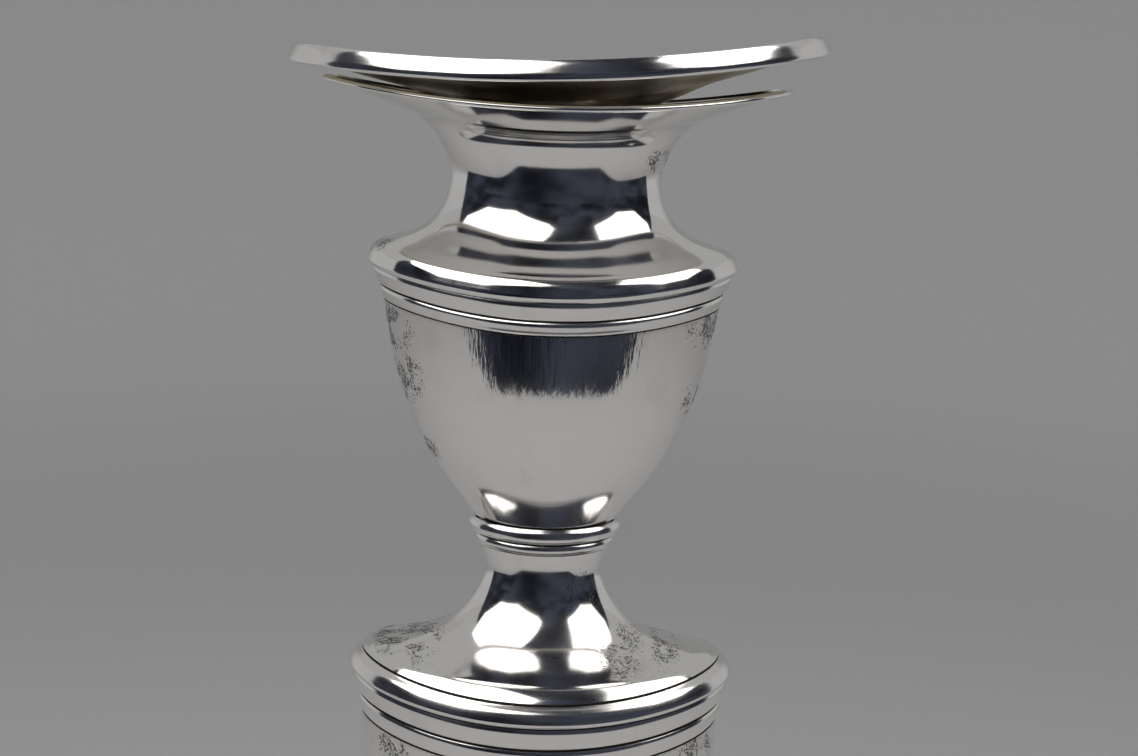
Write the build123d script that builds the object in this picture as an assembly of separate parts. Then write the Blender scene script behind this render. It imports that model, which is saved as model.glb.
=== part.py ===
from build123d import *

import os
from math import cos, hypot, pi, sin

# A loaded oval silver altar candlestick with a lift-off nozzle, in millimetres.
# +Z is up, X runs along the long side of the oval and -Y is the front. The origin is
# on the table, under the middle of the foot.
#
# Every shell and wire of the stick has the same oval plan. An outline is drawn as
# (half_width, height) points of the wall at its +X tip, and is carried round the oval:
# the depth is a fixed share of the width, and towards the front and the back the wide
# rims dip below their tips, so that they look like saddles.

# --- driving dimensions ---------------------------------------------------------------
OVAL = 0.66               # depth of the oval over its width
RIM_DIP = 4.2             # how far the wide rims drop from their tips to front and back
DIP_HALF_WIDTH = 33.0     # half width from which a rim has the whole dip
DIP_START = 60.0          # below this height the column has no dip
DIP_FULL = 140.0          # above this height the dip is whole

SHEET = 0.8               # silver sheet of the shells
GAP = 0.05                # solder gap between neighbouring pieces
CANDLE_RADIUS = 11.0      # bore for a 22 mm candle
TUBE_WALL = 0.5
CUP_CLEARANCE = 0.4       # the nozzle's tube slides in the cup
ROD_RADIUS = 2.4

FOOT_HALF_WIDTH = 73.0
BAIZE = 1.2
BASE_PLATE = 1.0
FOOT_TOP = 52.4           # the foot's neck ends here
COLUMN_BASE = 58.4        # the column starts here
COLUMN_TOP = 173.6
CAP_EDGE = 186.7          # edge of the column's flared cap
STEM_TOP = 207.4
URN_BASE = 213.5
URN_TOP = 255.2
SHOULDER_TOP = 265.7      # the shoulder of the urn ends here, at its reeded band
WAIST = 278.4             # the narrowest place of the socket
SOCKET_RIM = 296.4
NOZZLE_RIM = 303.0
SOCKET_HALF_WIDTH = 44.2
NOZZLE_HALF_WIDTH = 51.0
NOZZLE_LEAN = 0.043       # the pan rises this much per millimetre towards +X

TUBE_RADIUS = CANDLE_RADIUS + TUBE_WALL
CUP_RADIUS = TUBE_RADIUS + CUP_CLEARANCE
CUP_FLOOR = 262.0
CUP_TOP = 284.0
TUBE_BASE = CUP_FLOOR + 0.3
TUBE_TOP = NOZZLE_RIM - 9.6

FOOT_SHELL_HALF_WIDTH = 63.0
FOOT_BORDER_TOP = 14.6    # the dome of the foot ends here, at its reeded border
FOOT_BORDER_BASE = 6.0
RIM_INNER_HALF_WIDTH = 68.6

DISC_BASE = 217.0         # the disc that the tie rod clamps in the foot of the urn
DISC_THICKNESS = 1.6
WASHER_THICKNESS = 1.0
NUT_HEIGHT = 4.0
WELL_TOP = 9.0            # well under the filling, for the lower nut

SECTIONS = 24             # sections of a loft once round the oval
WIRE_SECTIONS = 48        # a thin wire needs them closer together


# --- the oval family of surfaces ------------------------------------------------------
def dip(half_width, height):
    """Drop of the wall at the front and back of the oval."""
    rise = min(1.0, max(0.0, (height - DIP_START) / (DIP_FULL - DIP_START)))
    ease = rise * rise * (3 - 2 * rise)
    return RIM_DIP * min(1.0, half_width / DIP_HALF_WIDTH) ** 3 * ease


def oval_point(point, turn, lean):
    half_width, height = point
    x = half_width * cos(turn)
    y = OVAL * half_width * sin(turn)
    return (x, y, height - dip(half_width, height) * sin(turn) ** 2 + lean * x)


def section(outline, turn, lean):
    """One closed section. Each run of the outline is a line or a smooth curve."""
    edges = []
    for run in outline:
        points = [oval_point(point, turn, lean) for point in run]
        edges.append(Line(*points) if len(points) == 2 else Spline(*points))
    return Wire([edge.edge() for edge in edges])


def oval_ring(outline, lean=0.0, count=SECTIONS):
    """A ring-shaped solid: the outline carried once round, back to its first section."""
    sections = [section(outline, 2 * pi * index / count, lean) for index in range(count)]
    return Solid.make_loft(sections + [sections[0]])


def offset_points(points, distance):
    """The points moved to the inner side of a wall that is drawn downwards.

    The two ends move straight across or straight along Z, so that pieces stack squarely.
    """
    last = len(points) - 1
    moved = []
    for index, (x, z) in enumerate(points):
        before = points[max(index - 1, 0)]
        after = points[min(index + 1, last)]
        run_x = after[0] - before[0]
        run_z = after[1] - before[1]
        if index in (0, last):
            steep = abs(run_z) > abs(run_x)
            run_x = 0.0 if steep else run_x
            run_z = run_z if steep else 0.0
        length = hypot(run_x, run_z)
        moved.append((x + run_z / length * distance, z - run_x / length * distance))
    return moved


def shell_outline(points):
    """A sheet of even thickness whose outer face runs down the points."""
    inner = offset_points(points, SHEET)[::-1]
    return [points, [points[-1], inner[0]], inner, [inner[-1], points[0]]]


def bulge(start, end, height):
    """A shallow convex run from start to end."""
    run_x = end[0] - start[0]
    run_z = end[1] - start[1]
    length = hypot(run_x, run_z)
    points = []
    for share in (0.0, 0.15, 0.5, 0.85, 1.0):
        out = height * (1 - (2 * share - 1) ** 2)
        x = start[0] + run_x * share - run_z / length * out
        z = start[1] + run_z * share + run_x / length * out
        points.append((x, z))
    return points


def wire_outline(runs, inner_half_width):
    """A band of convex runs on the outside, closed by a plain inner wall."""
    top = (inner_half_width, runs[0][0][1])
    bottom = (inner_half_width, runs[-1][-1][1])
    return runs + [[runs[-1][-1], bottom], [bottom, top], [top, runs[0][0]]]


def oval_disc(half_width, bottom, thickness, hole_radius):
    """A flat oval disc with a round hole."""
    plan = Ellipse(half_width, OVAL * half_width) - Circle(hole_radius)
    return Pos(0, 0, bottom) * extrude(plan, thickness)


def round_disc(radius, bottom, top):
    return Pos(0, 0, bottom) * extrude(Circle(radius), top - bottom)


def round_ring(outer, inner, bottom, top):
    return round_disc(outer, bottom, top) - round_disc(inner, bottom, top)


# --- outlines of the outer faces, top to bottom ---------------------------------------
FLARE = [
    (SOCKET_HALF_WIDTH - 0.6, SOCKET_RIM - 0.25),
    (37.0, 293.8),
    (29.2, 291.0),
    (23.7, 287.4),
    (20.8, 282.2),
    (20.1, WAIST),
]
SHOULDER = [
    (20.1, WAIST - GAP),
    (21.3, 273.6),
    (25.4, 268.8),
    (34.4, SHOULDER_TOP),
]
URN = [
    (32.3, URN_TOP),
    (31.1, 248.5),
    (29.2, 240.5),
    (26.3, 232.5),
    (22.2, 224.5),
    (19.4, 220.5),
    (16.3, 216.5),
    (14.0, URN_BASE),
]
STEM = [
    (12.3, STEM_TOP),
    (11.5, 203.5),
    (12.3, 199.2),
    (14.1, 196.0),
    (17.2, 192.6),
    (20.6, 190.4),
    (26.0, 188.5),
    (31.0, 187.7),
    (35.5, CAP_EDGE),
]
COLUMN = [
    (35.2, COLUMN_TOP),
    (35.3, 162.0),
    (34.7, 146.0),
    (32.6, 126.0),
    (29.0, 105.0),
    (24.2, 85.0),
    (19.0, 69.5),
    (14.6, COLUMN_BASE),
]
FOOT = [
    (13.7, FOOT_TOP),
    (13.2, 48.6),
    (14.6, 43.0),
    (19.0, 36.4),
    (27.5, 30.0),
    (40.0, 24.4),
    (53.0, 19.4),
    (FOOT_SHELL_HALF_WIDTH, FOOT_BORDER_TOP),
]
# The underside of the drip pan runs in from its rim to the throat of the tube.
PAN = [
    (NOZZLE_HALF_WIDTH - 1.9, NOZZLE_RIM - 1.4),
    (42.0, NOZZLE_RIM - 2.9),
    (36.0, NOZZLE_RIM - 4.6),
    (29.4, NOZZLE_RIM - 6.4),
    (24.9, NOZZLE_RIM - 8.2),
    (21.0, NOZZLE_RIM - 9.8),
    (10.5, NOZZLE_RIM - 11.0),
]


# --- the nozzle: everything here lifts off the stick ------------------------------------
def nozzle_pan():
    """Drip pan, dished down to a round throat that the candle passes through."""
    pan = oval_ring(shell_outline(PAN), NOZZLE_LEAN)
    return pan - round_disc(TUBE_RADIUS + GAP, TUBE_BASE, NOZZLE_RIM)


def nozzle_rim_wire():
    """Thick rounded wire that stiffens the edge of the pan."""
    width = 1.8
    half_height = 1.9
    inner = NOZZLE_HALF_WIDTH - width
    top = (inner + 0.5, NOZZLE_RIM + half_height)
    bottom = (inner + 0.5, NOZZLE_RIM - half_height)
    outline = wire_outline([bulge(top, bottom, width - 0.5)], inner)
    return oval_ring(outline, NOZZLE_LEAN, WIRE_SECTIONS)


def nozzle_tube():
    """Tube that holds the candle and drops into the socket's cup."""
    return round_ring(TUBE_RADIUS, CANDLE_RADIUS, TUBE_BASE, TUBE_TOP)


# --- the socket, shaped like an urn -----------------------------------------------------
def socket_rim_wire():
    """Fine wire along the lip of the socket."""
    top = (SOCKET_HALF_WIDTH + 0.05, SOCKET_RIM + 0.6)
    bottom = (SOCKET_HALF_WIDTH + 0.05, SOCKET_RIM - 0.6)
    outline = wire_outline([bulge(top, bottom, 0.4)], SOCKET_HALF_WIDTH + GAP - 0.4)
    return oval_ring(outline, count=WIRE_SECTIONS)


def socket_flare():
    """Flared mouth, from the lip down to the waist."""
    return oval_ring(shell_outline(FLARE))


def socket_shoulder():
    """From the waist out to the shoulder of the urn."""
    return oval_ring(shell_outline(SHOULDER))


def socket_plate():
    """Oval plate that closes the flare around the cup."""
    return oval_disc(19.2, 280.4, SHEET, CUP_RADIUS + TUBE_WALL + GAP)


def candle_cup():
    """Round cup that guides the nozzle's tube."""
    outer = CUP_RADIUS + TUBE_WALL
    wall = round_ring(outer, CUP_RADIUS, CUP_FLOOR, CUP_TOP)
    floor = round_disc(outer, CUP_FLOOR - TUBE_WALL, CUP_FLOOR)
    return wall + floor


def urn_reeded_band():
    """Shoulder of the urn: a fat bead and two flatter reeds."""
    runs = [
        bulge((34.7, SHOULDER_TOP - SHEET - GAP), (34.8, 261.8), 0.7),
        bulge((34.8, 261.8), (33.1, 258.1), 0.3),
        bulge((33.1, 258.1), (32.3, URN_TOP + GAP), 0.25),
    ]
    return oval_ring(wire_outline(runs, 31.0))


def urn_body():
    return oval_ring(shell_outline(URN))


def urn_support_disc():
    """Disc inside the foot of the urn, clamped by the tie rod."""
    return oval_disc(15.3, DISC_BASE, DISC_THICKNESS, ROD_RADIUS + 0.3)


def collar_bead():
    top = (13.8, URN_BASE - 0.5)
    bottom = (13.5, 209.8)
    return oval_ring(wire_outline([bulge(top, bottom, 0.7)], 10.0))


def collar_ring():
    """Fine ring between the collar bead and the stem."""
    top = (13.0, 209.8 - GAP)
    bottom = (12.5, STEM_TOP + GAP)
    return oval_ring(wire_outline([bulge(top, bottom, 0.4)], 10.0))


# --- the column -------------------------------------------------------------------------
def stem_neck():
    """Thin stem that flares into the flat cap of the column."""
    return oval_ring(shell_outline(STEM))


def column_reeded_band():
    """Three reeds round the top of the column."""
    runs = [
        bulge((35.8, CAP_EDGE - SHEET - GAP), (37.1, 182.2), 1.1),
        bulge((37.1, 182.2), (36.0, 177.7), 0.4),
        bulge((36.0, 177.7), (35.2, COLUMN_TOP + GAP), 0.3),
    ]
    return oval_ring(wire_outline(runs, 33.8))


def column_shell():
    return oval_ring(shell_outline(COLUMN))


def ankle_bead():
    top = (14.6, COLUMN_BASE - GAP)
    bottom = (14.4, 54.4)
    return oval_ring(wire_outline([bulge(top, bottom, 1.3)], 11.0))


def ankle_ring():
    top = (14.0, 54.4 - GAP)
    bottom = (13.8, FOOT_TOP + GAP)
    return oval_ring(wire_outline([bulge(top, bottom, 0.4)], 11.0))


# --- the foot ---------------------------------------------------------------------------
def foot_shell():
    return oval_ring(shell_outline(FOOT))


def foot_reeded_border():
    """Two reeds round the edge of the foot's dome."""
    inner = FOOT_SHELL_HALF_WIDTH + GAP
    runs = [
        bulge((inner + 0.8, FOOT_BORDER_TOP), (67.2, 10.4), 0.9),
        bulge((67.2, 10.4), (69.6, FOOT_BORDER_BASE), 0.9),
    ]
    return oval_ring(wire_outline(runs, inner))


def foot_rim_band():
    """Plain upright rim that carries the closing plate."""
    top = (70.4, FOOT_BORDER_BASE - GAP)
    bottom = (FOOT_HALF_WIDTH - 0.6, BAIZE + GAP)
    return oval_ring(wire_outline([bulge(top, bottom, 0.5)], RIM_INNER_HALF_WIDTH))


# --- the load, its tie rod and the base ---------------------------------------------------
def foot_weight():
    """Pitch filling of the foot, with a well for the lower nut and a hole for the rod."""
    top = offset_points(FOOT, SHEET + 0.4)[2:]
    floor = BAIZE + BASE_PLATE + GAP
    inner = ROD_RADIUS / 2
    outline = [
        top,
        [top[-1], (top[-1][0], floor)],
        [(top[-1][0], floor), (inner, floor)],
        [(inner, floor), (inner, top[0][1])],
        [(inner, top[0][1]), top[0]],
    ]
    well = round_disc(9.0, floor - 1, WELL_TOP)
    bore = round_disc(ROD_RADIUS + 0.3, floor - 1, FOOT_TOP)
    return oval_ring(outline) - well - bore


def tie_rod():
    """Steel rod from the foot to the urn."""
    return round_disc(ROD_RADIUS, WELL_TOP - 6.0, DISC_BASE + 9.0)


def hex_nut(bottom):
    plan = RegularPolygon(4.6, 6) - Circle(ROD_RADIUS + 0.02)
    return Pos(0, 0, bottom) * extrude(plan, NUT_HEIGHT - GAP)


def washer(bottom):
    return round_ring(7.0, ROD_RADIUS + 0.3, bottom, bottom + WASHER_THICKNESS - GAP)


def top_washer():
    return washer(DISC_BASE + DISC_THICKNESS + GAP)


def top_nut():
    return hex_nut(DISC_BASE + DISC_THICKNESS + WASHER_THICKNESS + GAP)


def bottom_washer():
    return washer(WELL_TOP - WASHER_THICKNESS)


def bottom_nut():
    return hex_nut(WELL_TOP - WASHER_THICKNESS - NUT_HEIGHT)


def base_plate():
    """Plate pressed into the rim that closes the foot."""
    half_width = RIM_INNER_HALF_WIDTH - GAP
    plan = Ellipse(half_width, OVAL * half_width)
    return Pos(0, 0, BAIZE + GAP) * extrude(plan, BASE_PLATE - GAP)


def baize_pad():
    """Felt glued under the foot."""
    half_width = FOOT_HALF_WIDTH - 1.0
    return extrude(Ellipse(half_width, OVAL * half_width), BAIZE)


PIECES = [
    nozzle_pan,
    nozzle_rim_wire,
    nozzle_tube,
    socket_rim_wire,
    socket_flare,
    socket_shoulder,
    socket_plate,
    candle_cup,
    urn_reeded_band,
    urn_body,
    urn_support_disc,
    collar_bead,
    collar_ring,
    stem_neck,
    column_reeded_band,
    column_shell,
    ankle_bead,
    ankle_ring,
    foot_shell,
    foot_reeded_border,
    foot_rim_band,
    foot_weight,
    tie_rod,
    top_nut,
    top_washer,
    bottom_nut,
    bottom_washer,
    base_plate,
    baize_pad,
]

os.makedirs("parts", exist_ok=True)
for make in PIECES:
    export_step(make(), f"parts/{make.__name__}.step")
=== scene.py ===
import math

import bmesh
import bpy
import numpy as np
from mathutils import Matrix, Vector

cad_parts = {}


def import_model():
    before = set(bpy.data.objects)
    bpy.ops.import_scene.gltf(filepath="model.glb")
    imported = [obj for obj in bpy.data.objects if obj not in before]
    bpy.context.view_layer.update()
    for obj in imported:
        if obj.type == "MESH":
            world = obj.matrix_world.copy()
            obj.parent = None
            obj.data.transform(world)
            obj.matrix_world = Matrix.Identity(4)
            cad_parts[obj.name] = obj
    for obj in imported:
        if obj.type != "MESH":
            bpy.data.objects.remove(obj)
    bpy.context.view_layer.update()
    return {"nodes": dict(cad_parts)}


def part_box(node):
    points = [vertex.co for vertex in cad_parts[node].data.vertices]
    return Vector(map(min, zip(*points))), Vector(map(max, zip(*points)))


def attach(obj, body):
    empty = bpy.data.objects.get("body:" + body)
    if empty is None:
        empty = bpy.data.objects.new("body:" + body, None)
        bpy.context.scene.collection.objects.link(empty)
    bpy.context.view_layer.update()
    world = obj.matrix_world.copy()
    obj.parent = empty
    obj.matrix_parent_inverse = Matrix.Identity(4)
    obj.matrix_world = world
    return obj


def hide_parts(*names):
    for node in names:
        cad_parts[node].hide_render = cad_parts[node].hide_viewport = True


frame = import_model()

# Lengths of the object are in millimetres until a mesh is made; the stage is in metres.
# Every silver shell and wire but the round tube is an oval ring: its outline, drawn at the
# +X tip, is carried round the oval.
MM = 0.001


def high(node):
    """Height of a CAD node's highest point, which is at a tip of the oval."""
    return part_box(node)[1].z / MM


def low(node):
    """Height of a CAD node's lowest point."""
    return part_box(node)[0].z / MM


def half_width(node):
    """Half of a CAD node's width along X."""
    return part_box(node)[1].x / MM


# --- driving dimensions ---------------------------------------------------------------
OVAL = 0.66               # depth of the oval over its width
RIM_DIP = 4.2             # how far the wide rims drop from their tips to front and back
DIP_HALF_WIDTH = 33.0     # half width from which a rim has the whole dip
CAP_START = 12.6          # half widths between which the column's cap takes its dip
CAP_END = 35.3
DIP_START = 60.0          # heights between which the dip grows up the column
DIP_FULL = 140.0
SHEET = 0.8               # thickness of the silver sheet
TURNS = 384               # vertices once round the oval
STEP = 0.45               # spacing of the vertices along an outline
GROOVE_DEPTH = 0.4
EDGE_SHADE_FADE = 1.3        # distance over which the painted shade at a wall's edges fades away

NOZZLE_HALF_WIDTH = half_width("nozzle_rim_wire")
NOZZLE_RIM = 303.0        # middle of the rim wire, before the pan leans
NOZZLE_LEAN = 0.043       # the pan rises this much per millimetre towards +X
SOCKET_HALF_WIDTH = 44.2
SOCKET_RIM = 296.4
SHOULDER_GROOVE = 261.8   # groove under the fat bead of the shoulder
URN_TOP = high("urn_body")
URN_BASE = 213.5
STEM_TOP = high("stem_neck")
CAP_EDGE = 186.7
COLUMN_TOP = high("column_shell")
COLUMN_BASE = low("column_shell")
FOOT_TOP = high("foot_shell")
FOOT_BORDER_TOP = 14.6
FOOT_BORDER_BASE = low("foot_reeded_border")
BAIZE = high("baize_pad")


# --- outlines -----------------------------------------------------------------------------
# A row of an outline is (half width, height, dark): dark is how much black sits there, from 0 to 1:
# tarnish in the grooves and at the ends of beads, painted shade at the edges of walls.
def smooth(points, step=STEP):
    """A natural cubic spline through (half width, height) points, as clean rows."""
    points = np.array(points, float)
    chords = np.hypot(*np.diff(points, axis=0).T)
    knots = np.concatenate([[0.0], np.cumsum(chords)])
    size = len(points)
    system = np.eye(size)
    right = np.zeros((size, 2))
    for i in range(1, size - 1):
        system[i, i - 1] = chords[i - 1]
        system[i, i] = 2 * (chords[i - 1] + chords[i])
        system[i, i + 1] = chords[i]
        slope_after = (points[i + 1] - points[i]) / chords[i]
        slope_before = (points[i] - points[i - 1]) / chords[i - 1]
        right[i] = 6 * (slope_after - slope_before)
    bend = np.linalg.solve(system, right)
    count = max(2, int(round(knots[-1] / step)))
    rows = []
    for s in np.linspace(0, knots[-1], count + 1):
        i = min(size - 2, int(np.searchsorted(knots, s, side="right")) - 1)
        h = chords[i]
        ahead = knots[i + 1] - s
        behind = s - knots[i]
        value = (bend[i] * ahead**3 + bend[i + 1] * behind**3) / (6 * h)
        value += (points[i] / h - bend[i] * h / 6) * ahead
        value += (points[i + 1] / h - bend[i + 1] * h / 6) * behind
        rows.append((value[0], value[1], 0.0))
    return rows


def sheet(rows, thickness=SHEET):
    """Closes an outer face into a sheet: the same rows come back on the inner side."""
    points = np.array(rows)[:, :2]
    run = np.gradient(points, axis=0)
    run /= np.hypot(*run.T)[:, None]
    inner = points + np.stack([run[:, 1], -run[:, 0]], 1) * thickness
    return rows + [(a, z, 0.0) for a, z in inner[::-1]]


def reed(start, end, height):
    """A reed from one groove down to the next: a short upper flank, a crest and a long face."""
    start = np.array(start, float)
    end = np.array(end, float)
    run = (end - start) / np.hypot(*(end - start))
    out = np.array([-run[1], run[0]])
    shape = [(0.06, -0.20), (0.13, 0.35 * height), (0.23, height), (0.38, 0.92 * height),
             (0.66, 0.55 * height), (0.89, 0.1 * height), (0.95, -0.16)]
    rows = smooth([start + (end - start) * share + out * up for share, up in shape], 0.12)
    first = (*(start - out * GROOVE_DEPTH), 1.0)
    rows[0] = (*rows[0][:2], 0.8)
    rows[-1] = (*rows[-1][:2], 0.8)
    return [first] + rows


def blackened(rows):
    """Tarnish at both ends of an outline, where it meets its neighbours."""
    shades = {0: 1.0, 1: 0.8, 2: 0.4}
    last = len(rows) - 1
    return [(a, z, shades.get(min(i, last - i), 0.0)) for i, (a, z, _) in enumerate(rows)]


def shade_wall_edges(rows):
    """A wall darkened at its top and its bottom edge, where it meets the bands: painted shade that fades
    away from the edges.
    """
    top, bottom = rows[0][1], rows[-1][1]
    faded = []
    for a, z, _ in rows:
        away = min(top - z, z - bottom)
        faded.append((a, z, 0.5 * math.exp(-away / EDGE_SHADE_FADE)))
    return faded


def band(rows, depth):
    """Closes the outer rows of a band by a plain wall, a little further in."""
    inner = min(row[0] for row in rows) - depth
    return rows + [(inner, rows[-1][1], 0.0), (inner, rows[0][1], 0.0)]


def reeds(grooves, height):
    """The reeds between a list of grooves."""
    rows = []
    for start, end in zip(grooves, grooves[1:]):
        rows += reed(start, end, height)
    return rows + [(grooves[-1][0] - GROOVE_DEPTH, grooves[-1][1], 1.0)]


# --- meshes ---------------------------------------------------------------------------------
def dip(a, z, cap):
    """Drop of a wall at the front and back of the oval.

    The column's cap takes most of its drop near its edge, so it is crowned there.
    """
    rise = np.clip((z - DIP_START) / (DIP_FULL - DIP_START), 0, 1)
    share = np.minimum(1, a / DIP_HALF_WIDTH) ** 2
    if cap:
        first = (CAP_START / DIP_HALF_WIDTH) ** 2
        inside = np.clip((a - CAP_START) / (CAP_END - CAP_START), 0, 1)
        share = first + (1 - first) * inside**3
    return RIM_DIP * share * rise * rise * (3 - 2 * rise)


def oval_points(rows, count, lean=0.0, depths=OVAL, cap=False):
    """Grid of points: one closed outline after another, once round the oval."""
    a, z = np.array(rows, float).T[:2]
    turn = np.linspace(0, 2 * math.pi, count, endpoint=False)[:, None]
    cos, sin = np.cos(turn), np.sin(turn)
    x = a * cos
    y = depths * a * sin
    return np.stack([x, y, z - dip(a, z, cap) * sin**2 + lean * x], -1)


def mesh_object(name, vertices, faces, dark=None):
    """A smooth shaded mesh; dark gives each vertex its share of black tarnish and painted shade."""
    mesh = bpy.data.meshes.new(name)
    mesh.from_pydata([tuple(v) for v in vertices], [], faces)
    editing = bmesh.new()
    editing.from_mesh(mesh)
    bmesh.ops.recalc_face_normals(editing, faces=editing.faces)
    editing.to_mesh(mesh)
    editing.free()
    if dark is not None:
        layer = mesh.attributes.new("groove", "FLOAT", "POINT")
        layer.data.foreach_set("value", np.asarray(dark, np.float32))
    mesh.polygons.foreach_set("use_smooth", [True] * len(mesh.polygons))
    mesh.set_sharp_from_angle(angle=math.radians(50))
    made = bpy.data.objects.new(name, mesh)
    bpy.context.collection.objects.link(made)
    return made


def oval_ring(name, rows, lean=0.0, count=TURNS, depths=OVAL, cap=False):
    """A closed ring: an outline that ends where it began, carried once round.

    depths may give each row of the outline its own depth over width.
    """
    points = oval_points(rows, count, lean, depths, cap)
    size = len(rows)
    faces = []
    for i in range(count):
        here = i * size
        there = (i + 1) % count * size
        for j in range(size):
            k = (j + 1) % size
            faces.append((here + j, there + j, there + k, here + k))
    dark = np.tile(np.array(rows)[:, 2], count)
    return mesh_object(name, points.reshape(-1, 3) * MM, faces, dark)


def round_ring(name, outline, count=128):
    """A closed ring turned round the Z axis from (radius, height) points."""
    faces = []
    vertices = []
    size = len(outline)
    for i in range(count):
        turn = 2 * math.pi * i / count
        for r, z in outline:
            vertices.append((r * math.cos(turn) * MM, r * math.sin(turn) * MM, z * MM))
        here = i * size
        there = (i + 1) % count * size
        for j in range(size):
            k = (j + 1) % size
            faces.append((here + j, there + j, there + k, here + k))
    return mesh_object(name, vertices, faces, np.zeros(len(vertices)))


# --- node helpers -----------------------------------------------------------------------------
class Nodes:
    """Short spelling for building a material's node tree."""

    def __init__(self, name):
        self.material = bpy.data.materials.new(name)
        self.material.use_nodes = True
        self.tree = self.material.node_tree
        self.tree.nodes.clear()
        self.shader = self.add("ShaderNodeBsdfPrincipled")
        output = self.add("ShaderNodeOutputMaterial")
        self.link(self.shader.outputs[0], output.inputs["Surface"])

    def add(self, kind, **settings):
        node = self.tree.nodes.new(kind)
        for key, value in settings.items():
            setattr(node, key, value)
        return node

    def link(self, start, end):
        self.tree.links.new(start, end)

    def put(self, value, socket):
        """A socket gets a number, a colour or another socket."""
        if isinstance(value, bpy.types.NodeSocket):
            self.link(value, socket)
        else:
            socket.default_value = value

    def math(self, kind, a, b=0.0, clamp=False):
        node = self.add("ShaderNodeMath", operation=kind, use_clamp=clamp)
        self.put(a, node.inputs[0])
        self.put(b, node.inputs[1])
        return node.outputs[0]

    def position(self):
        return self.add("ShaderNodeTexCoord").outputs["Object"]

    def axis(self, index):
        node = self.add("ShaderNodeSeparateXYZ")
        self.link(self.position(), node.inputs[0])
        return node.outputs[index]

    def scaled(self, x, y, z):
        node = self.add("ShaderNodeVectorMath", operation="MULTIPLY")
        self.link(self.position(), node.inputs[0])
        node.inputs[1].default_value = (x, y, z)
        return node.outputs[0]

    def noise(self, vector, scale, detail=2.0, rough=0.5):
        node = self.add("ShaderNodeTexNoise")
        self.link(vector, node.inputs["Vector"])
        node.inputs["Scale"].default_value = scale
        node.inputs["Detail"].default_value = detail
        node.inputs["Roughness"].default_value = rough
        return node.outputs["Fac"]

    def ramp(self, value, low, high, bottom=0.0, top=1.0):
        """A smooth step: bottom below low, top above high."""
        node = self.add("ShaderNodeMapRange", interpolation_type="SMOOTHSTEP")
        self.put(value, node.inputs["Value"])
        node.inputs["From Min"].default_value = low
        node.inputs["From Max"].default_value = high
        node.inputs["To Min"].default_value = bottom
        node.inputs["To Max"].default_value = top
        return node.outputs["Result"]

    def mix(self, share, a, b):
        node = self.add("ShaderNodeMix", data_type="RGBA")
        self.put(share, node.inputs[0])
        self.put(a, node.inputs[6])
        self.put(b, node.inputs[7])
        return node.outputs[2]

    def bump(self, height, distance, strength=1.0, below=None):
        node = self.add("ShaderNodeBump")
        node.inputs["Strength"].default_value = strength
        node.inputs["Distance"].default_value = distance
        self.link(height, node.inputs["Height"])
        if below is not None:
            self.link(below, node.inputs["Normal"])
        return node.outputs[0]

    def give(self, obj):
        obj.data.materials.clear()
        obj.data.materials.append(self.material)


SILVER = (0.93, 0.915, 0.89, 1)
DULL = (0.50, 0.46, 0.40, 1)
# Black of tarnish; the same black paints the shade at the edges of walls.
TARNISH_AND_SHADE = (0.03, 0.026, 0.023, 1)
KHAKI = (0.62, 0.53, 0.35, 1)


def patch(n, x, z, radius):
    """1 in the middle of a patch in front of the axis, fading to 0 at its radius, in mm."""
    apart = n.add("ShaderNodeVectorMath", operation="SUBTRACT")
    n.link(n.scaled(1, 0.25, 1), apart.inputs[0])
    apart.inputs[1].default_value = (x * MM, 0, z * MM)
    length = n.add("ShaderNodeVectorMath", operation="LENGTH")
    n.link(apart.outputs[0], length.inputs[0])
    return n.ramp(length.outputs["Value"], 0.3 * radius * MM, radius * MM, 1.0, 0.0)


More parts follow.
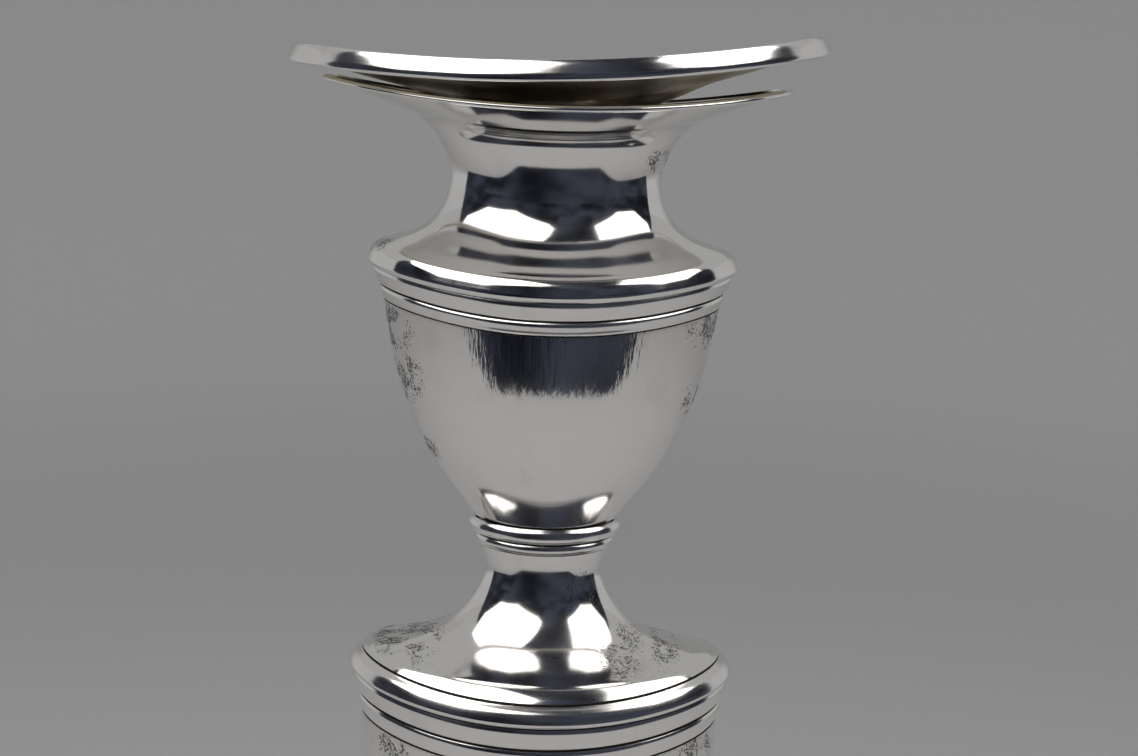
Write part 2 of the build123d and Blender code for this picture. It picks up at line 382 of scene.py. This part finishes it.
def silver(name, rough=0.07, pitted=(), streaks=None, stain=0.0):
    """Polished silver with black tarnish in its grooves and painted shade at the edges of its walls.

    pitted lists the (x, z, radius) of its pitted patches in mm, streaks is the height above
    which it has vertical polishing marks, and stain is how much it has gone khaki.
    """
    n = Nodes(name)
    # The groove attribute holds tarnish in the grooves and painted shade at the edges of walls; both turn
    # dull and black here.
    groove = n.add("ShaderNodeAttribute", attribute_name="groove").outputs["Fac"]
    grain = n.noise(n.scaled(1, 1, 1), 2200, 4, 0.7)
    crumbs = n.math("MULTIPLY", n.math("SUBTRACT", grain, 0.5), 1.1)
    black = n.ramp(n.math("ADD", groove, crumbs), 0.42, 0.72)
    tarnish_and_shade_film = n.math("MULTIPLY", n.ramp(groove, 0.05, 0.8), 0.35)
    ragged = n.ramp(n.noise(n.scaled(1, 1, 1), 260, 3, 0.6), 0.38, 0.56, 0.3, 1.0)
    for x, z, radius in pitted:
        amount = n.math("MULTIPLY", n.math("MULTIPLY", patch(n, x, z, radius), ragged), 0.29)
        specks = n.math("ADD", amount, grain)
        black = n.math("MAXIMUM", black, n.ramp(specks, 0.72, 0.80, 0.0, 0.85))
    clouds = n.ramp(n.noise(n.scaled(1, 1, 0.6), 130, 4, 0.6), 0.56, 0.72, 0.0, 0.16)
    base = n.mix(n.math("MAXIMUM", tarnish_and_shade_film, clouds), SILVER, DULL)
    base = n.mix(black, base, TARNISH_AND_SHADE)
    if stain:
        cloud = n.ramp(n.noise(n.scaled(1, 1, 1), 60, 4, 0.6), 0.35, 0.65, 0.55, 1.0)
        facing = n.add("ShaderNodeSeparateXYZ")
        n.link(n.add("ShaderNodeNewGeometry").outputs["True Normal"], facing.inputs[0])
        under = n.ramp(facing.outputs[2], -0.3, 0.3, stain, 0.3 * stain)
        base = n.mix(n.math("MULTIPLY", cloud, under), base, KHAKI)
    n.put(base, n.shader.inputs["Base Color"])
    n.shader.inputs["Metallic"].default_value = 1.0
    smear = n.ramp(n.noise(n.scaled(1, 1, 0.35), 75, 4, 0.6), 0.3, 0.8, rough, rough + 0.06)
    n.put(n.math("MAXIMUM", smear, n.math("MULTIPLY", black, 0.5)), n.shader.inputs["Roughness"])
    scratch = n.noise(n.scaled(1, 1, 0.15), 3000, 2, 0.5)
    normal = n.bump(scratch, 0.0000015)
    if streaks is not None:
        lines = n.noise(n.scaled(1, 1, 0.03), 800, 3, 0.6)
        where = n.ramp(n.axis(2), (streaks - 8) * MM, (streaks + 12) * MM)
        normal = n.bump(n.math("MULTIPLY", lines, where), 0.00009, 1.0, normal)
    n.link(normal, n.shader.inputs["Normal"])
    return n


def steel(name):
    """Plain drawn steel."""
    n = Nodes(name)
    grain = n.noise(n.scaled(1, 1, 0.1), 900, 3, 0.6)
    n.put(n.mix(grain, (0.42, 0.42, 0.43, 1), (0.62, 0.61, 0.6, 1)), n.shader.inputs["Base Color"])
    n.shader.inputs["Metallic"].default_value = 1.0
    n.put(n.ramp(grain, 0.3, 0.7, 0.28, 0.45), n.shader.inputs["Roughness"])
    n.link(n.bump(grain, 0.00003), n.shader.inputs["Normal"])
    return n


def pitch(name):
    """Rough cast pitch."""
    n = Nodes(name)
    lumps = n.noise(n.scaled(1, 1, 1), 220, 5, 0.6)
    n.put(n.mix(lumps, (0.03, 0.026, 0.022, 1), (0.1, 0.085, 0.07, 1)), n.shader.inputs["Base Color"])
    n.shader.inputs["Roughness"].default_value = 0.7
    n.link(n.bump(lumps, 0.0006), n.shader.inputs["Normal"])
    return n


def iron(name):
    """Blackened sheet iron."""
    n = Nodes(name)
    scale = n.noise(n.scaled(1, 1, 1), 400, 4, 0.6)
    n.put(n.mix(scale, (0.09, 0.09, 0.092, 1), (0.2, 0.17, 0.15, 1)), n.shader.inputs["Base Color"])
    n.shader.inputs["Metallic"].default_value = 0.8
    n.shader.inputs["Roughness"].default_value = 0.6
    n.link(n.bump(scale, 0.0001), n.shader.inputs["Normal"])
    return n


def felt(name):
    """Green baize, worn paler in places."""
    n = Nodes(name)
    fibre = n.noise(n.scaled(1, 1, 1), 1800, 5, 0.7)
    clouds = n.noise(n.scaled(1, 1, 1), 90, 3, 0.5)
    colour = n.mix(fibre, (0.012, 0.06, 0.028, 1), (0.045, 0.17, 0.08, 1))
    n.put(n.mix(n.ramp(clouds, 0.4, 0.7, 0.0, 0.35), colour, (0.08, 0.14, 0.07, 1)),
          n.shader.inputs["Base Color"])
    n.shader.inputs["Roughness"].default_value = 0.95
    n.shader.inputs["Sheen Weight"].default_value = 0.4
    n.link(n.bump(fibre, 0.0002), n.shader.inputs["Normal"])
    return n


# --- pieces -----------------------------------------------------------------------------------
def place(piece, material, body, *nodes, slot="silver"):
    """The piece stands for the CAD nodes and moves with their body."""
    material.give(piece)
    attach(piece, body)
    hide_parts(*nodes)


NECK_SILVER = silver("silver_neck", pitted=[(19, 283, 5), (-33, 268, 7)])
URN_SILVER = silver("silver_urn", streaks=236, pitted=[
    (-31, 250, 10), (29, 252, 8), (-27, 241, 9), (27, 238, 6), (8, 229, 6), (-24, 226, 7)])
STEM_SILVER = silver("silver_stem", pitted=[
    (7.5, 200, 6), (-24, 190, 9), (15, 188, 9), (24, 188, 6), (-30, 189, 6)])
COLUMN_SILVER = silver("silver_column", streaks=60, pitted=[
    (-27, 171, 9), (30, 170, 8), (-12, 173, 7)])
FOOT_SILVER = silver("silver_foot", pitted=[(-40, 26, 12), (20, 32, 8), (52, 20, 9)])
RIMS = silver("silver_rims", rough=0.13)
LIPS = silver("silver_lips", rough=0.10)
STAINED = silver("silver_stained", rough=0.28, stain=0.95)


def nozzle():
    rim = NOZZLE_RIM
    a = NOZZLE_HALF_WIDTH
    throat = half_width("nozzle_tube") + 0.05
    face = smooth([(a - 2.4, rim + 1.5), (a - 1.6, rim + 1.9), (a - 0.75, rim + 0.9),
                   (a - 0.25, rim - 0.2), (a, rim - 1.3), (a - 0.3, rim - 1.8),
                   (a - 1.1, rim - 1.85), (a - 2.0, rim - 1.5)], 0.2)
    wire = oval_ring("nozzle_rim", face, NOZZLE_LEAN)
    place(wire, LIPS, "nozzle", "nozzle_rim_wire")
    under = smooth([(a - 1.9, rim - 1.4), (42.0, rim - 2.9), (36.0, rim - 4.6),
                    (29.4, rim - 6.4), (24.9, rim - 8.2), (21.0, rim - 9.8),
                    (17.0, rim - 10.9), (13.5, rim - 11.0), (throat, rim - 11.0)])
    rows = sheet(under)
    reach = np.clip((21.0 - np.array(rows)[:, 0]) / (21.0 - throat), 0, 1)
    depths = OVAL + (1 - OVAL) * reach * reach * (3 - 2 * reach)
    pan = oval_ring("nozzle_pan_sheet", rows, NOZZLE_LEAN, depths=depths)
    place(pan, STAINED, "nozzle", "nozzle_pan")


def socket():
    lip = smooth([(SOCKET_HALF_WIDTH - 0.9, SOCKET_RIM + 0.75), (SOCKET_HALF_WIDTH, SOCKET_RIM + 0.55),
                  (SOCKET_HALF_WIDTH + 0.4, SOCKET_RIM), (SOCKET_HALF_WIDTH - 0.1, SOCKET_RIM - 0.45),
                  (SOCKET_HALF_WIDTH - 0.9, SOCKET_RIM - 0.5)], 0.15)
    place(oval_ring("socket_lip", lip), LIPS, "stick", "socket_rim_wire")
    neck = smooth([(SOCKET_HALF_WIDTH - 0.6, SOCKET_RIM - 0.3), (37.0, 293.8), (29.2, 291.0),
                   (23.7, 287.4), (20.8, 282.2), (20.1, 278.4), (21.3, 273.6), (25.0, 269.4),
                   (29.5, 267.5), (33.2, 266.2), (34.5, 265.3), (35.0, 264.5), (35.45, 263.4),
                   (35.6, 262.85), (35.45, 262.4), (34.8, SHOULDER_GROOVE)], 0.22)
    place(oval_ring("neck", sheet(neck)), NECK_SILVER, "stick", "socket_flare",
          "socket_shoulder")


def urn():
    grooves = [(34.8, SHOULDER_GROOVE), (33.1, 258.1), (32.3, URN_TOP)]
    place(oval_ring("urn_reeds", band(reeds(grooves, 0.2), 0.6)), RIMS, "stick",
          "urn_reeded_band")
    wall = smooth([(32.25, URN_TOP), (31.1, 248.5), (29.2, 240.5), (26.3, 232.5), (22.2, 224.5),
                   (19.4, 220.5), (16.3, 216.5), (14.0, URN_BASE)])
    place(oval_ring("urn", sheet(shade_wall_edges(wall))), URN_SILVER, "stick", "urn_body")


def collar():
    bead = smooth([(13.3, URN_BASE - 0.25), (14.5, 212.6), (14.9, 211.6), (14.5, 210.5),
                   (13.4, 209.9)], 0.15)
    place(oval_ring("collar", band(blackened(bead), 2.5)), RIMS, "stick", "collar_bead")
    ring = smooth([(13.0, 209.75), (13.45, 209.0), (13.2, 208.1), (12.5, STEM_TOP + 0.05)], 0.15)
    place(oval_ring("collar_fillet", band(blackened(ring), 2.0)), RIMS, "stick", "collar_ring")


def column():
    stem = smooth([(12.3, STEM_TOP), (11.5, 203.5), (12.3, 199.4), (14.1, 196.3), (17.6, 192.7),
                   (24.0, 189.35), (30.0, 187.95), (34.5, 187.2), (35.3, CAP_EDGE)])
    place(oval_ring("stem", sheet(stem), cap=True), STEM_SILVER, "stick", "stem_neck")
    bead = smooth([(35.1, 186.2), (35.7, 185.85), (36.6, 185.35), (37.3, 184.5), (37.8, 183.5),
                   (37.85, 183.05), (37.55, 182.55), (37.1, 182.25)], 0.12)
    grooves = [(37.1, 182.2), (36.0, 177.7), (35.2, COLUMN_TOP)]
    rows = blackened(bead) + reeds(grooves, 0.25)
    place(oval_ring("column_reeds", band(rows, 0.6)), RIMS, "stick", "column_reeded_band")
    wall = smooth([(35.2, COLUMN_TOP), (35.3, 162.0), (34.7, 146.0), (32.6, 126.0), (29.0, 105.0),
                   (24.2, 85.0), (19.0, 69.5), (14.6, COLUMN_BASE)], 0.8)
    place(oval_ring("column", sheet(shade_wall_edges(wall))), COLUMN_SILVER, "stick", "column_shell")


def ankle():
    bead = smooth([(14.2, COLUMN_BASE - 0.1), (15.5, 57.6), (16.0, 56.4), (15.5, 55.1),
                   (14.2, 54.45)], 0.2)
    place(oval_ring("ankle", band(blackened(bead), 2.5)), RIMS, "stick", "ankle_bead")
    ring = smooth([(13.9, 54.3), (14.35, 53.6), (14.2, 52.9), (13.8, FOOT_TOP + 0.05)], 0.15)
    place(oval_ring("ankle_fillet", band(blackened(ring), 2.0)), RIMS, "stick", "ankle_ring")


def foot():
    dome = smooth([(13.7, FOOT_TOP), (13.2, 48.6), (14.6, 43.0), (19.0, 36.4), (27.5, 30.0),
                   (40.0, 24.4), (53.0, 19.4), (63.0, FOOT_BORDER_TOP)])
    place(oval_ring("foot", sheet(shade_wall_edges(dome))), FOOT_SILVER, "stick", "foot_shell")
    grooves = [(63.8, FOOT_BORDER_TOP), (67.2, 10.4), (69.8, FOOT_BORDER_BASE)]
    place(oval_ring("foot_reeds", band(reeds(grooves, 0.9), 0.3)), RIMS, "stick",
          "foot_reeded_border")
    rim = smooth([(70.3, FOOT_BORDER_BASE - 0.1), (71.1, 5.3), (71.8, 3.5), (72.2, 1.8),
                  (72.1, BAIZE + 0.05)])
    place(oval_ring("foot_rim", band(blackened(rim), 0.8)), RIMS, "stick", "foot_rim_band")


def tube():
    """The nozzle's round tube, with a small chamfer at its upper rim."""
    low_tube, high_tube = low("nozzle_tube"), high("nozzle_tube")
    outer = half_width("nozzle_tube")
    inner = outer - 0.5
    lip = [(inner, low_tube), (inner, high_tube - 0.15), (inner + 0.15, high_tube),
           (outer - 0.15, high_tube), (outer, high_tube - 0.15), (outer, low_tube)]
    place(round_ring("candle_tube", lip), STAINED, "nozzle", "nozzle_tube")


def baize():
    """Felt pad with a slightly uneven edge and face."""
    rng = np.random.default_rng(7)
    half = half_width("baize_pad")
    thick = BAIZE
    count = 240
    wobble = np.convolve(np.tile(rng.normal(0, 1, count), 3), np.ones(5) / 5, "same")[count:-count]
    vertices = []
    faces = []
    profile = [(0.0, 0.0), (0.5, 0.0), (0.97, 0.0), (1.0, 0.35), (0.995, 0.8), (0.97, 1.0), (0.5, 1.0),
               (0.0, 1.0)]
    rings = len(profile)
    for i in range(count):
        turn = 2 * math.pi * i / count
        for share, level in profile:
            a = (half - 0.25 + 0.22 * wobble[i] * (share > 0.9)) * max(share, 0.002)
            vertices.append((a * math.cos(turn) * MM, OVAL * a * math.sin(turn) * MM, level * thick * MM))
        here, there = i * rings, (i + 1) % count * rings
        for j in range(rings - 1):
            faces.append((here + j, there + j, there + j + 1, here + j + 1))
    bottom = [i * rings for i in range(count)]
    top = [i * rings + rings - 1 for i in range(count)]
    faces.append(tuple(bottom))
    faces.append(tuple(top[::-1]))
    pad = mesh_object("baize", vertices, faces)
    place(pad, felt("baize_felt"), "stick", "baize_pad", slot="baize")


def hidden_parts():
    """CAD nodes whose shape is right get their own materials."""
    inside = {
        "tie_rod": steel("rod_steel"),
        "top_nut": steel("nut_steel"),
        "bottom_nut": steel("nut_steel_low"),
        "top_washer": steel("washer_steel"),
        "bottom_washer": steel("washer_steel_low"),
        "urn_support_disc": steel("disc_steel"),
        "foot_weight": pitch("pitch_fill"),
        "base_plate": iron("base_iron"),
        "candle_cup": STAINED,
        "socket_plate": STAINED,
    }
    for node, material in inside.items():
        material.give(frame["nodes"][node])


# --- stage --------------------------------------------------------------------------------------
def glow_material(name, colour, strength):
    n = Nodes(name)
    n.shader.inputs["Base Color"].default_value = (0, 0, 0, 1)
    n.shader.inputs["Specular IOR Level"].default_value = 0.0
    n.shader.inputs["Emission Color"].default_value = (*colour, 1)
    n.shader.inputs["Emission Strength"].default_value = strength
    return n


FLOOR_RADIUS = 1.3        # of its flat part
COVE_RADIUS = 0.6         # of the curve from the floor up into the wall
WALL_TOP = 1.2


def studio_floor():
    """A round pale floor that curves up into a low wall all round; it glows a little further out and
    towards the sides, painted light that evens out the backdrop.
    """
    outline = [(0.0, 0.0), (0.3, 0.0), (0.8, 0.0), (FLOOR_RADIUS, 0.0)]
    for turn in range(10, 91, 10):
        angle = math.radians(turn)
        outline.append((FLOOR_RADIUS + COVE_RADIUS * math.sin(angle),
                        COVE_RADIUS - COVE_RADIUS * math.cos(angle)))
    outline.append((FLOOR_RADIUS + COVE_RADIUS, WALL_TOP))
    count = 96
    vertices = []
    faces = []
    rings = len(outline)
    for i in range(count):
        turn = 2 * math.pi * i / count
        for r, z in outline:
            vertices.append((max(r, 0.001) * math.cos(turn), max(r, 0.001) * math.sin(turn), z))
        here, there = i * rings, (i + 1) % count * rings
        for j in range(rings - 1):
            faces.append((here + j, there + j, there + j + 1, here + j + 1))
    faces.append(tuple(i * rings for i in range(count)))
    floor = mesh_object("floor", vertices, faces)
    n = Nodes("floor_pale")
    n.shader.inputs["Base Color"].default_value = (0.43, 0.43, 0.435, 1)
    n.shader.inputs["Roughness"].default_value = 0.9
    # Painted light: the floor glows more further from the middle and towards both sides.
    reach = n.add("ShaderNodeVectorMath", operation="LENGTH")
    n.link(n.position(), reach.inputs[0])
    painted_far_glow = n.ramp(reach.outputs["Value"], 0.6, 1.5, 0.0, 0.07)
    side = n.ramp(n.math("ABSOLUTE", n.axis(0)), 0.8, 1.5, 0.0, 0.16)
    n.link(n.math("ADD", painted_far_glow, side), n.shader.inputs["Emission Strength"])
    n.shader.inputs["Emission Color"].default_value = (1, 1, 1, 1)
    n.give(floor)


def direction(azimuth, elevation):
    """Unit vector from the object: azimuth 0 is towards the camera, positive to the right."""
    a, e = math.radians(azimuth), math.radians(elevation)
    return Vector((math.sin(a) * math.cos(e), -math.cos(a) * math.cos(e), math.sin(e)))


def card(name, middle, azimuth, elevation, width, height, sides=4):
    """A flat panel that faces the object; eight sides make an octagonal softbox."""
    facing = direction(azimuth, elevation)
    turn = facing.to_track_quat("Z", "Y").to_matrix().to_4x4()
    reach = 1 / math.cos(math.pi / sides)
    corners = []
    for i in range(sides):
        angle = 2 * math.pi * (i + 0.5) / sides
        across = math.cos(angle) * reach * width / 2
        up = math.sin(angle) * reach * height / 2
        corners.append(Vector((across, up, 0)))
    vertices = [middle + turn.to_3x3() @ corner for corner in corners]
    panel = mesh_object(name, vertices, [tuple(range(sides))])
    return panel


def unseen(obj, lights=True):
    """The panel shows in reflections but not to the camera, and may light nothing."""
    obj.visible_camera = False
    obj.visible_shadow = False
    if not lights:
        obj.visible_diffuse = False


MIDDLE = Vector((0, 0, 0.24))    # the point that the softboxes and the gap card face
SOFTBOX_STRENGTH = 2.0
EDGE_NEAR = 0.45                 # distance of the table's edge in the middle
EDGE_AWAY = 0.45                 # how much further off it is at both sides
EDGE_AZIMUTH = 3                 # where the middle of its near part lies, in degrees
EDGE_HALF = 32                   # how far the near part reaches to each side
EDGE_TURN = 22                   # over how many degrees it then moves away
BACK_RADIUS = 1.25               # distance of the dim glowing strip behind the table


def softbox(name, azimuth, elevation, distance, width, height):
    """An octagonal light that shows as a white shape in the silver."""
    middle = MIDDLE + direction(azimuth, elevation) * distance
    box = card(name, middle, azimuth, elevation, width, height, 8)
    glow_material(name + "_glow", (1.0, 0.985, 0.97), SOFTBOX_STRENGTH).give(box)
    unseen(box)


def dark_wall(name, first, last, radius, bottom, top):
    """An upright dim glowing strip between two azimuths; radius gives its distance."""
    vertices = []
    faces = []
    steps = 60
    for i in range(steps + 1):
        azimuth = first + (last - first) * i / steps
        foot = direction(azimuth, 0) * radius(azimuth)
        vertices += [(foot.x, foot.y, bottom), (foot.x, foot.y, top)]
    for i in range(steps):
        faces.append((2 * i, 2 * i + 2, 2 * i + 3, 2 * i + 1))
    wall = mesh_object(name, vertices, faces)
    return wall


def table_edge(azimuth):
    """Distance of the table's edge: near in the middle, further off at both sides."""
    away = min(1.0, max(0.0, (abs(azimuth - EDGE_AZIMUTH) - EDGE_HALF) / EDGE_TURN))
    return EDGE_NEAR + EDGE_AWAY * away * away * (3 - 2 * away)


def dark_room():
    """Dark surroundings behind the camera, which the silver mirrors: dim panels seen only in reflections,
    whose faint uneven glow is painted light.
    """
    glow_panels = [
        dark_wall("dark_table_edge", -90, 96, table_edge, 0.0, 0.36),
        dark_wall("dark_back", -90, 96, lambda azimuth: BACK_RADIUS, 0.25, 2.4),
        card("dark_gap", MIDDLE + direction(15, 58) * 0.72, 15, 58, 0.30, 0.85),
    ]
    for glow_panel in glow_panels:
        # Painted light: each panel glows faintly and unevenly to stand for the dim room in the silver's
        # reflections.
        n = glow_material(glow_panel.name + "_cloth", (0.50, 0.56, 0.80), 0.02)
        uneven_glow = n.noise(n.scaled(1, 1, 1), 2.2, 2, 0.5)
        n.link(n.ramp(uneven_glow, 0.35, 0.70, 0.012, 0.085), n.shader.inputs["Emission Strength"])
        n.give(glow_panel)
        unseen(glow_panel, lights=False)


def world():
    """Even white light from all round."""
    made = bpy.data.worlds.new("studio")
    made.use_nodes = True
    background = made.node_tree.nodes["Background"]
    background.inputs["Color"].default_value = (1.0, 1.0, 1.0, 1)
    background.inputs["Strength"].default_value = 0.36
    bpy.context.scene.world = made


def camera():
    """Close to the upper half, looking slightly down, with a small roll."""
    distance = 0.348
    height = 0.2965
    pitch_down = math.radians(9.15)
    roll = math.radians(1.91)
    pan = math.radians(0.63)
    data = bpy.data.cameras.new("camera")
    data.sensor_width = 36.0
    data.lens = 57.5747
    data.clip_start = 0.01
    made = bpy.data.objects.new("camera", data)
    bpy.context.collection.objects.link(made)
    turn = Matrix.Rotation(-pan, 4, "Z") @ Matrix.Rotation(math.pi / 2 - pitch_down, 4, "X")
    place_at = Matrix.Translation((0, -distance, height))
    made.matrix_world = place_at @ turn @ Matrix.Rotation(roll, 4, "Z")
    bpy.context.scene.camera = made


nozzle()
socket()
urn()
collar()
column()
ankle()
foot()
tube()
baize()
hidden_parts()
studio_floor()
softbox("softbox_left", -41, 56, 0.80, 0.92, 0.98)
softbox("softbox_right", 59, 54, 0.80, 0.68, 0.90)
dark_room()
world()
camera()
bpy.context.scene.view_settings.view_transform = "Standard"
